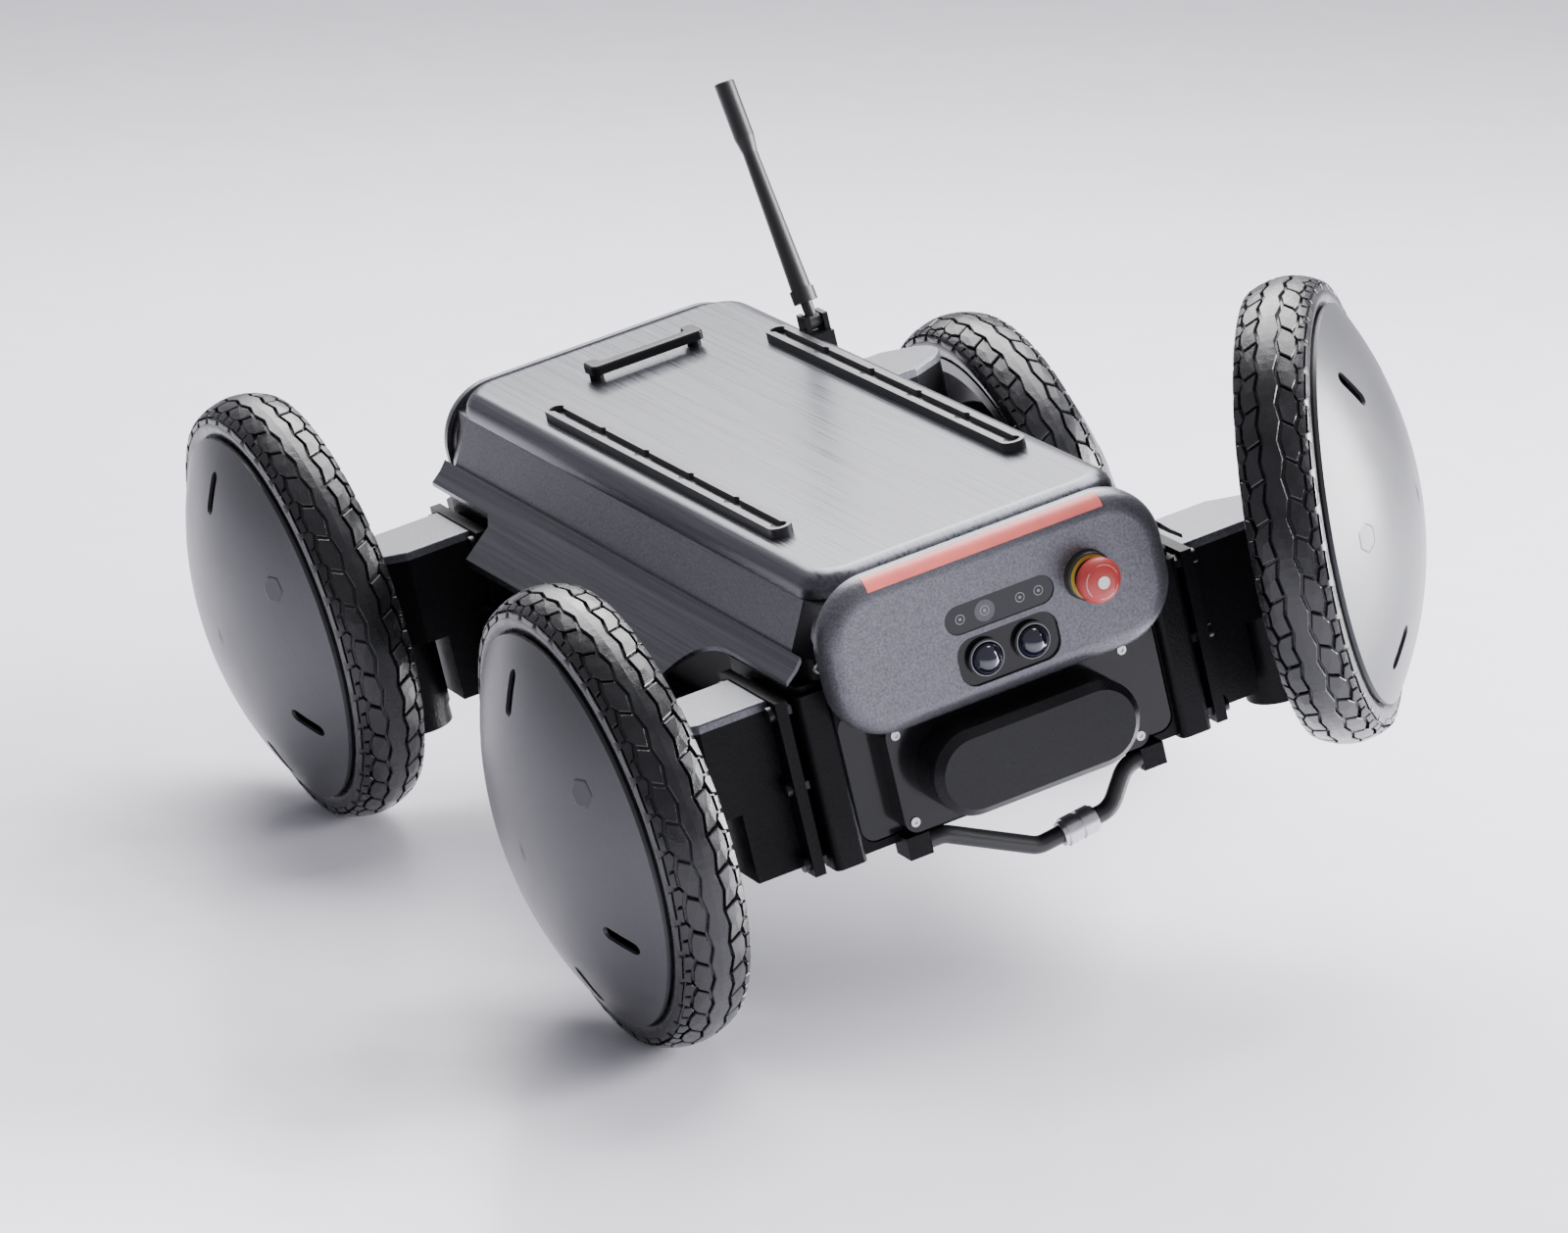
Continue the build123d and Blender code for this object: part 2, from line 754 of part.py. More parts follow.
def make_arm(corner):
    """The fixed box arm: full height at the body, stepped up over the knuckle."""
    end, side, _, _ = CORNERS[corner]
    x = end * ARM_X
    with BuildPart() as arm:
        with BuildSketch(Plane.XY.offset(ARM_STEP_Z)):
            arm_outline(corner, 0, ARM_IN_Y)
        extrude(amount=ARM_TOP - ARM_STEP_Z)
        with BuildSketch(Plane.XY.offset(ARM_LOW)):
            with Locations((x, side * (ARM_IN_Y + ARM_STEP_Y) / 2)):
                Rectangle(2 * ARM_HALF, ARM_STEP_Y - ARM_IN_Y)
        extrude(amount=ARM_STEP_Z - ARM_LOW)
        with Locations((x, side * (ARM_IN_Y - 3.2), 77)):
            Box(2 * FLANGE_HALF, 6.4, FLANGE_HIGH - FLANGE_LOW)
        with BuildSketch(Plane.XY.offset(ARM_STEP_Z + 8)):
            arm_outline(corner, -ARM_WALL, ARM_IN_Y + ARM_WALL)
        extrude(amount=ARM_TOP, mode=Mode.SUBTRACT)
        with BuildSketch(Plane.XY.offset(ARM_LOW + 6)):
            with Locations((x, side * (ARM_IN_Y + ARM_STEP_Y) / 2)):
                Rectangle(2 * (ARM_HALF - ARM_WALL), ARM_STEP_Y - ARM_IN_Y - 2 * ARM_WALL)
        extrude(amount=ARM_STEP_Z + 4, mode=Mode.SUBTRACT)
        with BuildSketch(Plane.XY.offset(ARM_LOW)):
            with Locations((x, side * KINGPIN_Y)):
                Circle(SHAFT_RADIUS + FIT)
        extrude(amount=ARM_TOP, mode=Mode.SUBTRACT)
        flange_holes(end, side)
    return arm.part


def make_arm_caps():
    with BuildPart() as arm_caps:
        for corner in CORNERS:
            with BuildSketch(Plane.XY.offset(ARM_TOP + 0.02)):
                arm_outline(corner, 1, ARM_IN_Y)
            extrude(amount=8)
        fillet(arm_caps.edges().group_by(Axis.Z)[-1], 2)
    return arm_caps.part


def make_flange_bolts():
    """Through bolts with a dome head and a nut that clamp each arm flange to its cheek."""
    grip = 10.44
    with BuildPart() as flange_bolts:
        for end, side, _, _ in CORNERS.values():
            for z in FLANGE_BOLT_Z:
                for shift in (FLANGE_BOLT_X, -FLANGE_BOLT_X):
                    at = Plane(
                        origin=(end * ARM_X + shift, side * (ARM_IN_Y + 0.02), z),
                        z_dir=(0, side, 0),
                    )
                    with BuildSketch(at):
                        Circle(7)
                    extrude(amount=5.5)
                    with BuildSketch(at.offset(-grip - 5)):
                        Circle(4)
                    extrude(amount=grip + 6)
                    with BuildSketch(at.offset(-grip - 5)):
                        RegularPolygon(7, 6)
                    extrude(amount=5)
    return flange_bolts.part


def make_steering_motors():
    with BuildPart() as steering_motors:
        for end, side, _, _ in CORNERS.values():
            with BuildSketch(Plane.XY.offset(ARM_STEP_Z + 24)):
                with Locations((end * ARM_X, side * KINGPIN_Y)):
                    Circle(21)
            extrude(amount=54)
            with BuildSketch(Plane.XY.offset(ARM_STEP_Z + 8.02)):
                with Locations((end * ARM_X, side * KINGPIN_Y)):
                    Circle(21)
                    Circle(SHAFT_RADIUS + FIT, mode=Mode.SUBTRACT)
            extrude(amount=16)
    return steering_motors.part


def make_heat_sinks():
    """Finned blocks below each arm root, beside the cheek."""
    with BuildPart() as heat_sinks:
        for end, side, _, _ in CORNERS.values():
            with Locations((end * 258, side * 194, 30)):
                Box(30, 14, 100)
            for k in range(9):
                with Locations((end * 258, side * 208, -14 + 11 * k)):
                    Box(30, 16, 4)
    return heat_sinks.part


def make_knuckle(corner):
    """Turns under the arm: kingpin shaft, round housing and the lift's guide block."""
    base = steered_plane(corner, -2)
    sign = out_sign(corner)
    with BuildPart() as knuckle:
        with BuildSketch(base):
            Circle(31)
            with Locations((0, sign * 17.5)):
                Rectangle(62, 35)
        extrude(amount=ARM_STEP_Z + 1.6)
        with BuildSketch(base.offset(ARM_STEP_Z + 1.6)):
            Circle(SHAFT_RADIUS)
        extrude(amount=24)
        with BuildSketch(base.offset(-18)):
            Circle(29)
        extrude(amount=18.5)
        with BuildSketch(base.offset(-20)):
            with Locations((20, sign * 32), (-20, sign * 32)):
                Rectangle(10.2, 8.2)
        extrude(amount=120, mode=Mode.SUBTRACT)
        with BuildSketch(base.offset(-20)):
            with Locations((0, sign * 40)):
                Rectangle(80, 9.6)
        extrude(amount=120, mode=Mode.SUBTRACT)
    return knuckle.part


def make_carriage(corner):
    """The lift plate that slides on the knuckle, with its rails and the fixed axle."""
    sign = out_sign(corner)
    height = CORNERS[corner][2]
    base = steered_plane(corner, height)
    frame = wheel_plane(corner)
    with BuildPart() as carriage:
        with BuildSketch(base.offset(-163)):
            with Locations((0, sign * 39)):
                Rectangle(60, 6)
            with Locations((20, sign * 32.5), (-20, sign * 32.5)):
                Rectangle(10, 8)
        extrude(amount=273)
        with BuildSketch(frame.offset(-34)):
            Circle(28)
        extrude(amount=6.98)
        with BuildSketch(frame.offset(-30)):
            Circle(AXLE_RADIUS)
        extrude(amount=60)
    return carriage.part


def make_hub_stator(corner):
    """The hub motor's fixed winding disc on the axle."""
    frame = wheel_plane(corner)
    with BuildPart() as hub_stator:
        with BuildSketch(frame.offset(-27)):
            Circle(118)
            Circle(AXLE_RADIUS + 0.3, mode=Mode.SUBTRACT)
        extrude(amount=26)
        fillet(hub_stator.edges().filter_by(GeomType.CIRCLE).sort_by(SortBy.LENGTH)[-2:], 4)
    return hub_stator.part


def make_rim(corner):
    """Rotor hub, web and barrel that carry the tyre."""
    with BuildPart() as rim:
        with BuildSketch(wheel_profile_plane(corner)):
            with BuildLine():
                Polyline(
                    (AXLE_RADIUS + FIT, 3),
                    (36, 3),
                    (44, 10),
                    (158, 10),
                    (158, -31),
                    (171, -31),
                    (171, -27),
                    (164, -24),
                    (164, 24),
                    (171, 27),
                    (171, 33),
                    (158, 33),
                    (152, 20),
                    (44, 20),
                    (36, 26),
                    (AXLE_RADIUS + FIT, 26),
                    close=True,
                )
            make_face()
        revolve(axis=wheel_axis(corner))
    return rim.part


def make_tyre(corner):
    with BuildPart() as tyre:
        with BuildSketch(wheel_profile_plane(corner)):
            with BuildLine():
                Polyline((164.4, -23.6), (171.6, -26.8), (171.6, -29.5))
                ThreePointArc((171.6, -29.5), (184, -TYRE_HALF), (194, -30))
                ThreePointArc((194, -30), (TYRE_RADIUS, 0), (194, 30))
                ThreePointArc((194, 30), (184, TYRE_HALF), (171.6, 29.5))
                Polyline((171.6, 29.5), (171.6, 26.8), (164.4, 23.6), (164.4, -23.6))
            make_face()
        revolve(axis=wheel_axis(corner))
    return tyre.part


def dome_arc(edge_radius, edge_height, rise):
    """End, middle and apex points of a shallow dome's section."""
    big = (edge_radius**2 + rise**2) / (2 * rise)
    middle = edge_radius / 2
    drop = big - (big**2 - middle**2) ** 0.5
    return (edge_radius, edge_height), (middle, edge_height + rise - drop), (0, edge_height + rise)


def plug_angle(corner):
    """Angle of the plug in the wheel plane, whose x is up."""
    _, side, _, _ = CORNERS[corner]
    return side * (90 - PLUG_ANGLES[corner])


def plug_plane(corner):
    """Plane tangent to the dome at the plug, facing outward."""
    frame = wheel_plane(corner)
    angle = radians(plug_angle(corner))
    radial = frame.x_dir * cos(angle) + frame.y_dir * sin(angle)
    ball = (RIM_RADIUS**2 + DOME_HEIGHT**2) / (2 * DOME_HEIGHT)
    tilt = SLOT_CIRCLE / ball
    height = DOME_EDGE + DOME_HEIGHT - ball + (ball**2 - SLOT_CIRCLE**2) ** 0.5
    normal = radial * tilt + frame.z_dir * (1 - tilt**2) ** 0.5
    origin = frame.origin + radial * SLOT_CIRCLE + frame.z_dir * height
    return Plane(origin=origin, x_dir=radial.cross(frame.z_dir), z_dir=normal)


def make_dome(corner):
    """The wheel's dished cover: five slots and one plug seat on a 60 degree pitch."""
    frame = wheel_plane(corner)
    outer = dome_arc(RIM_RADIUS, DOME_EDGE, DOME_HEIGHT)
    inner = dome_arc(RIM_RADIUS - 3, DOME_EDGE - 1.5, DOME_HEIGHT - 2)
    foot = DOME_EDGE - 3.5
    with BuildPart() as dome:
        with BuildSketch(wheel_profile_plane(corner)):
            with BuildLine():
                ThreePointArc(*outer)
                Line(outer[2], inner[2])
                ThreePointArc(inner[2], inner[1], inner[0])
                Polyline(inner[0], (160, inner[0][1]), (160, foot), (RIM_RADIUS, foot), outer[0])
            make_face()
        revolve(axis=wheel_axis(corner))
        with BuildSketch(frame.offset(DOME_EDGE + 3)):
            with PolarLocations(
                SLOT_CIRCLE,
                5,
                start_angle=plug_angle(corner) + SLOT_PITCH,
                angular_range=5 * SLOT_PITCH,
            ):
                SlotOverall(37, 13)
        extrude(amount=50, mode=Mode.SUBTRACT)
        with BuildSketch(plug_plane(corner).offset(-1.2)):
            with BuildSketch(mode=Mode.PRIVATE) as seat:
                RegularPolygon(14, 6)
                fillet(seat.vertices(), 4)
            add(seat.sketch)
        extrude(amount=10, mode=Mode.SUBTRACT)
    return dome.part


def save(part, name):
    """Labels a finished piece and writes its file."""
    part.label = name
    export_step(part, f"parts/{name}.step")


SINGLE_PARTS = {
    "lid": make_lid,
    "body_shell": make_body_shell,
    "side_beams": make_side_beams,
    "side_skirts": make_side_skirts,
    "belly_plate": make_belly_plate,
    "battery_pack": make_battery_pack,
    "control_box": make_control_box,
    "bezels": make_bezels,
    "light_bars": make_light_bars,
    "panel_frames": make_panel_frames,
    "panel_covers": make_panel_covers,
    "depth_window": make_depth_window,
    "twin_lens_module": make_twin_lens_module,
    "camera_lenses": make_camera_lenses,
    "estop_base": make_estop_base,
    "estop_stem": make_estop_stem,
    "estop_cap": make_estop_cap,
    "rails": make_rails,
    "handle": make_handle,
    "antenna_base": make_antenna_base,
    "antenna_whip": make_antenna_whip,
    "face_screws": make_face_screws,
    "arm_caps": make_arm_caps,
    "flange_bolts": make_flange_bolts,
    "steering_motors": make_steering_motors,
    "heat_sinks": make_heat_sinks,
    "held_cable": make_held_cable,
    "cable_connector": make_cable_connector,
}
END_PARTS = {
    "casting": make_end_casting,
    "fascia": make_fascia,
}
CORNER_PARTS = {
    "arm": make_arm,
    "knuckle": make_knuckle,
    "carriage": make_carriage,
    "hub_stator": make_hub_stator,
    "rim": make_rim,
    "tyre": make_tyre,
    "dome": make_dome,
}

os.makedirs("parts", exist_ok=True)
for name, make in SINGLE_PARTS.items():
    save(make(), name)
for name, make in END_PARTS.items():
    save(make(1), f"{name}_front")
    save(make(-1), f"{name}_rear")
for name, make in CORNER_PARTS.items():
    for corner in CORNERS:
        save(make(corner), f"{name}_{corner}")
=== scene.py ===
"""Four wheel robot chassis: looks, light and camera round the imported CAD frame."""

import json
import math

import bpy
from mathutils import Matrix, Vector


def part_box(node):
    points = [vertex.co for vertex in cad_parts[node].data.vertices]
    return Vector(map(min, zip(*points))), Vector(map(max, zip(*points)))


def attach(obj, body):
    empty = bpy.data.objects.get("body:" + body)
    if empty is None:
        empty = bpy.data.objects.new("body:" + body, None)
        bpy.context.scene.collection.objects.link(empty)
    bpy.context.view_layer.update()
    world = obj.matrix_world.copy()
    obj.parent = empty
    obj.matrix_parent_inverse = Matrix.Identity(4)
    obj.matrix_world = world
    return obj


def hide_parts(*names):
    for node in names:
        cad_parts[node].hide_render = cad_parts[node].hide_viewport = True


CORNERS = ("front_right", "front_left", "rear_right", "rear_left")

# camera: place and axes in the frame, lens for a 36 mm sensor
CAMERA_AT = Vector((6.0807, -2.2617, 2.3624))
CAMERA_RIGHT = Vector((0.40775, 0.88632, -0.21952))
CAMERA_DOWN = Vector((0.22317, -0.32985, -0.91727))
CAMERA_LENS = 176.67

# the floor stands under three tyres; the front left wheel is held clear
FLOOR_UP = Vector((0.02437, 0.22157, 0.97484))
FLOOR_OFFSET = -0.1691

# tyre section: crown arc, then the side wall down to the bead (radius, side) in metres
CROWN_CENTRE = 0.1485
CROWN_RADIUS = 0.0545
CROWN_END = 0.0318
WALL = ((0.194, 0.0300), (0.190, 0.0319), (0.184, 0.0330), (0.178, 0.0323), (0.1718, 0.0294))
SECTION_END = 0.0565
SECTION_STEPS = 40
AROUND = 192
TREAD_RADIUS = 0.203
TREAD_PITCHES = 38
TREAD_DEPTH = 0.0042
TREAD_EDGE = 0.043
TREAD_FADE = 0.015
GROOVE = 0.0013

# small details on the front cover and along the seams: places in the frame, in metres
STOP_Y = 0.084
STOP_Z = 0.184
TWIN_LENS_Y = 0.022
TWIN_LENS_Z = 0.146
RING_SCREW = (0.4065, 0.1585, 0.1790)
WINDOW_Z = 0.186
WINDOW_LENSES = ((-0.0372, 0.005), (-0.0137, 0.0095), (0.020, 0.005), (0.0376, 0.005))
SEAM_Y = 0.172
SEAM_Z = 0.187
SEAM_SLOPE = (0.464, 0.887)
SEAM_PROUD = 0.0004
SEAM_SLOT_LOW = 0.001
SEAM_SLOT_HIGH = 0.0036
LAMP_SLOT = 4
SEAM_SLOTS = (
    (0.292, 0.316),
    (0.325, 0.347),
    (0.359, 0.381),
    (-0.324, -0.303),
    (-0.286, -0.267),
    (-0.252, -0.233),
)

# wheel plugs: angle round each cover in degrees, then places on its dome
PLUG_ANGLES = {"front_right": 33, "front_left": 7, "rear_right": 29, "rear_left": 30}
PLUG_CIRCLE = 0.132
PLUG_HEIGHT = 0.0583
PLUG_RADIUS = 0.0126
PLUG_CORNERS = 0.0006
PLUG_POINTS = 48
DOME_BALL = 0.3394

# area lights in floor axes (right, away from the camera, up): place, aim, size, power, colour
LIGHTS = {
    "sky_panel": ((0.2, 1.6, 3.4), (0, 0.2, 0.2), (3.6, 2.6), 360, (0.985, 0.98, 1)),
    "back_panel": ((-0.2, 2.4, 2.1), (0, 0, 0.3), (2.6, 1.4), 80, (1, 1, 1)),
    "right_panel": ((3.4, 0.2, 1.2), (0, 0, 0.3), (2.0, 2.4), 620, (0.98, 0.98, 1)),
}
FLOOR_HALF = 30


def node_material(name):
    """A material with its Principled shader, and a mapping of object space for textures."""
    material = bpy.data.materials.new(name)
    material.use_nodes = True
    tree = material.node_tree
    shader = tree.nodes["Principled BSDF"]
    coords = tree.nodes.new("ShaderNodeTexCoord")
    return material, tree, shader, coords


def noise(tree, coords, scale, detail=2.0, stretch=(1, 1, 1)):
    """A noise value in object space, scaled along each axis."""
    mapping = tree.nodes.new("ShaderNodeMapping")
    mapping.inputs["Scale"].default_value = stretch
    tree.links.new(coords.outputs["Object"], mapping.inputs["Vector"])
    texture = tree.nodes.new("ShaderNodeTexNoise")
    texture.inputs["Scale"].default_value = scale
    texture.inputs["Detail"].default_value = detail
    tree.links.new(mapping.outputs["Vector"], texture.inputs["Vector"])
    return texture.outputs["Fac"]


def spread(tree, value, low, high):
    """Maps the middle of a noise value to a range."""
    ranged = tree.nodes.new("ShaderNodeMapRange")
    ranged.inputs["From Min"].default_value = 0.3
    ranged.inputs["From Max"].default_value = 0.7
    ranged.inputs["To Min"].default_value = low
    ranged.inputs["To Max"].default_value = high
    tree.links.new(value, ranged.inputs["Value"])
    return ranged.outputs["Result"]


def tone(tree, value, dark, light):
    """Mixes two colours by a noise value."""
    ramp = tree.nodes.new("ShaderNodeValToRGB")
    ramp.color_ramp.elements[0].position = 0.3
    ramp.color_ramp.elements[1].position = 0.7
    ramp.color_ramp.elements[0].color = (*dark, 1)
    ramp.color_ramp.elements[1].color = (*light, 1)
    tree.links.new(value, ramp.inputs["Fac"])
    return ramp.outputs["Color"]


def bump(tree, shader, value, strength, distance):
    """Relief from a noise value."""
    node = tree.nodes.new("ShaderNodeBump")
    node.inputs["Strength"].default_value = strength
    node.inputs["Distance"].default_value = distance
    tree.links.new(value, node.inputs["Height"])
    tree.links.new(node.outputs["Normal"], shader.inputs["Normal"])


def finish_coat(
    name, colour, metallic, rough, grain=900.0, contrast=0.12, relief=0.15, coat=0.0, shine=0.5
):
    """Paint, plastic or cast finish: fine grain in tone, roughness and relief."""
    material, tree, shader, coords = node_material(name)
    fine = noise(tree, coords, grain, 3.0)
    broad = noise(tree, coords, 14.0, 2.0)
    dark = tuple(c * (1 - contrast) for c in colour)
    light = tuple(min(1, c * (1 + contrast)) for c in colour)
    tree.links.new(tone(tree, fine, dark, light), shader.inputs["Base Color"])
    tree.links.new(spread(tree, broad, rough - 0.03, rough + 0.03), shader.inputs["Roughness"])
    bump(tree, shader, fine, relief, 0.0006)
    shader.inputs["Metallic"].default_value = metallic
    shader.inputs["Coat Weight"].default_value = coat
    shader.inputs["Coat Roughness"].default_value = 0.12
    shader.inputs["Specular IOR Level"].default_value = shine
    return material


def brushed_metal(name, colour, rough):
    """Metal with fine grain drawn along X."""
    material, tree, shader, coords = node_material(name)
    lines = noise(tree, coords, 1.0, 5.0, (4, 420, 420))
    dark = tuple(c * 0.72 for c in colour)
    light = tuple(c * 1.3 for c in colour)
    tree.links.new(tone(tree, lines, dark, light), shader.inputs["Base Color"])
    tree.links.new(spread(tree, lines, rough - 0.06, rough + 0.07), shader.inputs["Roughness"])
    bump(tree, shader, lines, 0.1, 0.0003)
    shader.inputs["Metallic"].default_value = 0.85
    return material


def rubber(name):
    """Black rubber with faint scuffs."""
    material, tree, shader, coords = node_material(name)
    fine = noise(tree, coords, 700.0, 4.0)
    scuff = noise(tree, coords, 45.0, 5.0)
    tree.links.new(
        tone(tree, scuff, (0.006, 0.006, 0.007), (0.014, 0.014, 0.016)), shader.inputs["Base Color"]
    )
    tree.links.new(spread(tree, scuff, 0.2, 0.36), shader.inputs["Roughness"])
    bump(tree, shader, fine, 0.35, 0.0006)
    return material


def lit_plastic(name, colour, glow, strength):
    """Frosted red plastic with a faint light behind it."""
    material, tree, shader, coords = node_material(name)
    frost = noise(tree, coords, 60.0, 3.0)
    tree.links.new(
        tone(tree, frost, tuple(c * 0.85 for c in colour), colour), shader.inputs["Base Color"]
    )
    shader.inputs["Roughness"].default_value = 0.3
    shader.inputs["Emission Color"].default_value = (*glow, 1)
    shader.inputs["Emission Strength"].default_value = strength
    return material


MATERIALS = {
    "tyre": rubber("tyre"),
    "cover_grey": finish_coat("cover_grey", (0.07, 0.07, 0.076), 0.35, 0.34, 500.0, 0.06, 0.06, 0.0, 0.5),
    "rim_black": finish_coat("rim_black", (0.03, 0.03, 0.033), 0.5, 0.3),
    "black_textured": finish_coat(
        "black_textured", (0.004, 0.004, 0.005), 0.0, 0.4, 420.0, 0.4, 0.6, 0.0, 0.12
    ),
    "motor_black": finish_coat("motor_black", (0.022, 0.022, 0.026), 0.4, 0.4),
    "satin_grey": finish_coat("satin_grey", (0.125, 0.125, 0.142), 0.5, 0.36, 480.0, 0.3, 0.35),
    "brushed_aluminium": brushed_metal("brushed_aluminium", (0.09, 0.092, 0.105), 0.3),
    "casing_black": finish_coat("casing_black", (0.03, 0.03, 0.03), 0.0, 0.6),
    "black_satin": finish_coat("black_satin", (0.008, 0.008, 0.0095), 0.0, 0.26, 500.0, 0.2, 0.12, 0.0, 0.22),
    "red_diffuser": lit_plastic("red_diffuser", (0.85, 0.17, 0.15), (1.0, 0.18, 0.14), 0.18),
    "black_gloss": finish_coat(
        "black_gloss", (0.006, 0.006, 0.007), 0.0, 0.16, 300.0, 0.2, 0.03, 0.15, 0.25
    ),
    "dark_glass": finish_coat("dark_glass", (0.008, 0.008, 0.01), 0.0, 0.1, 300.0, 0.1, 0.0, 0.0, 0.4),
    "lens_glass": finish_coat("lens_glass", (0.006, 0.007, 0.02), 0.0, 0.04, 200.0, 0.2, 0.0, 1.0),
    "collar_yellow": finish_coat("collar_yellow", (0.035, 0.032, 0.02), 0.0, 0.35),
    "button_red": finish_coat("button_red", (0.48, 0.05, 0.045), 0.0, 0.38, 500.0, 0.06, 0.05),
    "black_anodised": finish_coat("black_anodised", (0.018, 0.018, 0.02), 0.6, 0.38),
    "whip_rubber": finish_coat("whip_rubber", (0.014, 0.014, 0.015), 0.0, 0.42),
    "screw_steel": finish_coat("screw_steel", (0.5, 0.5, 0.52), 1.0, 0.3),
    "bolt_black": finish_coat("bolt_black", (0.014, 0.014, 0.016), 0.5, 0.26),
    "cable_black": finish_coat("cable_black", (0.014, 0.014, 0.015), 0.0, 0.3),
    "connector_steel": finish_coat("connector_steel", (0.7, 0.7, 0.72), 1.0, 0.28),
}
EXTRA = {
    "seam_black": finish_coat("seam_black", (0.004, 0.004, 0.004), 0.0, 0.6),
    "mark_white": finish_coat("mark_white", (0.8, 0.78, 0.78), 0.0, 0.5),
    "ring_yellow": finish_coat("ring_yellow", (0.5, 0.36, 0.05), 0.0, 0.4),
    "rail_grey": finish_coat("rail_grey", (0.075, 0.075, 0.08), 0.6, 0.36),
    "plug_grey": finish_coat("plug_grey", (0.05, 0.05, 0.055), 0.3, 0.35),
    # light grey: the real rings round the window lenses, and a painted highlight on the lens centre dots and
    # barrel lips
    "lens_ring_and_highlight": finish_coat("lens_ring_and_highlight", (0.22, 0.22, 0.24), 0.2, 0.3),
    "lens_disc": finish_coat("lens_disc", (0.075, 0.075, 0.085), 0.2, 0.25),
    "dash_red": lit_plastic("dash_red", (0.4, 0.03, 0.04), (1.0, 0.05, 0.05), 0.15),
    "floor": finish_coat("floor", (0.84, 0.835, 0.9), 0.0, 0.24, 900.0, 0.01, 0.01, 0.3, 0.8),
}


def dress_frame(frame):
    """Gives every CAD node its slot's material; the rails are lighter than their slot."""
    slots = {p["node"]: p["material_slot"] for p in frame["record"]["subparts"]}
    for name, obj in frame["nodes"].items():
        obj.data.materials.clear()
        obj.data.materials.append(MATERIALS[slots[name]])
    frame["nodes"]["rails"].data.materials[0] = EXTRA["rail_grey"]


def new_piece(name, vertices, faces, body, material, smooth=()):
    """A mesh object that rides a body."""
    mesh = bpy.data.meshes.new(name)
    mesh.from_pydata([tuple(v) for v in vertices], [], faces)
    mesh.update()
    obj = bpy.data.objects.new(name, mesh)
    bpy.context.collection.objects.link(obj)
    mesh.materials.append(material)
    for index in smooth:
        mesh.polygons[index].use_smooth = True
    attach(obj, body)
    return obj


# ---- tyres -------------------------------------------------------------------------------


def section(t):
    """Tyre surface at a distance t along the section from the crown: radius, side, normal."""
    sign = 1 if t >= 0 else -1
    t = abs(t)
    if t <= CROWN_END:
        angle = t / CROWN_RADIUS
        radius = CROWN_CENTRE + CROWN_RADIUS * math.cos(angle)
        side = CROWN_RADIUS * math.sin(angle)
        return radius, sign * side, math.cos(angle), sign * math.sin(angle)
    left = t - CROWN_END
    for (r0, s0), (r1, s1) in zip(WALL, WALL[1:]):
        step = math.hypot(r1 - r0, s1 - s0)
        if left <= step or (r1, s1) == WALL[-1]:
            k = min(1, left / step)
            normal = ((s1 - s0) / step, (r0 - r1) / step)
            return r0 + k * (r1 - r0), sign * (s0 + k * (s1 - s0)), normal[0], sign * normal[1]
        left -= step


def groove_depth(t):
    """Depth of the casing under the tread, fading out on the side wall."""
    return TREAD_DEPTH * max(0.0, min(1.0, (TREAD_EDGE - abs(t)) / TREAD_FADE))


class TyreMesh:
    """Collects a tyre's vertices and faces in a frame whose z is the axle."""

    def __init__(self, matrix):
        self.matrix = matrix
        self.vertices = []
        self.faces = []
        self.smooth = []

    def point(self, angle, t, lower):
        radius, side, normal_r, normal_s = section(t)
        radius -= normal_r * lower
        side -= normal_s * lower
        at = Vector((radius * math.cos(angle), radius * math.sin(angle), side))
        self.vertices.append(self.matrix @ at)
        return len(self.vertices) - 1

    def carcass(self):
        """The smooth casing below the tread."""
        span = 2 * SECTION_END / SECTION_STEPS
        steps = [-SECTION_END + span * k for k in range(SECTION_STEPS + 1)]
        first = len(self.vertices)
        for a in range(AROUND):
            for t in steps:
                self.point(2 * math.pi * a / AROUND, t, groove_depth(t))
        count = len(steps)
        for a in range(AROUND):
            here = first + a * count
            there = first + (a + 1) % AROUND * count
            for k in range(count - 1):
                self.smooth.append(len(self.faces))
                self.faces.append((here + k, there + k, there + k + 1, here + k + 1))

    def block(self, outline, sunk):
        """A tread block from its outline, points (arc length, t), with chamfered edges."""
        centre_s = sum(p[0] for p in outline) / len(outline)
        centre_t = sum(p[1] for p in outline) / len(outline)
        rings = []
        for shrink, lower in ((0.93, 0.0), (1.0, 0.0007), (1.02, sunk)):
            ring = []
            for s, t in outline:
                s = centre_s + shrink * (s - centre_s)
                t = centre_t + shrink * (t - centre_t)
                ring.append(self.point(s / TREAD_RADIUS, t, lower))
            rings.append(ring)
        top = self.point(centre_s / TREAD_RADIUS, centre_t, 0.0)
        count = len(outline)
        for k in range(count):
            n = (k + 1) % count
            self.faces.append((top, rings[0][k], rings[0][n]))
            for upper, below in zip(rings, rings[1:]):
                self.faces.append((upper[k], below[k], below[n], upper[n]))

    def rib(self, pitch):
        """The unbroken centre rib with zigzag edges."""
        columns = []
        steps = TREAD_PITCHES * 4
        for k in range(steps):
            s = k * pitch / 4
            edge = rib_edge(s, pitch)
            angle = s / TREAD_RADIUS
            rows = (
                (-edge, 0.0055),
                (-edge, 0.0007),
                (-edge + 0.0008, 0.0),
                (0.0, 0.0),
                (edge - 0.0008, 0.0),
                (edge, 0.0007),
                (edge, 0.0055),
            )
            columns.append([self.point(angle, t, lower) for t, lower in rows])
        for k in range(steps):
            a = columns[k]
            b = columns[(k + 1) % steps]
            for j in range(6):
                self.faces.append((a[j], b[j], b[j + 1], a[j + 1]))


def rib_edge(s, pitch):
    """Half width of the centre rib: a triangle wave along the tread."""
    phase = (s / pitch) % 1.0
    wave = 1 - abs(2 * phase - 1)
    return 0.0062 + 0.0034 * wave


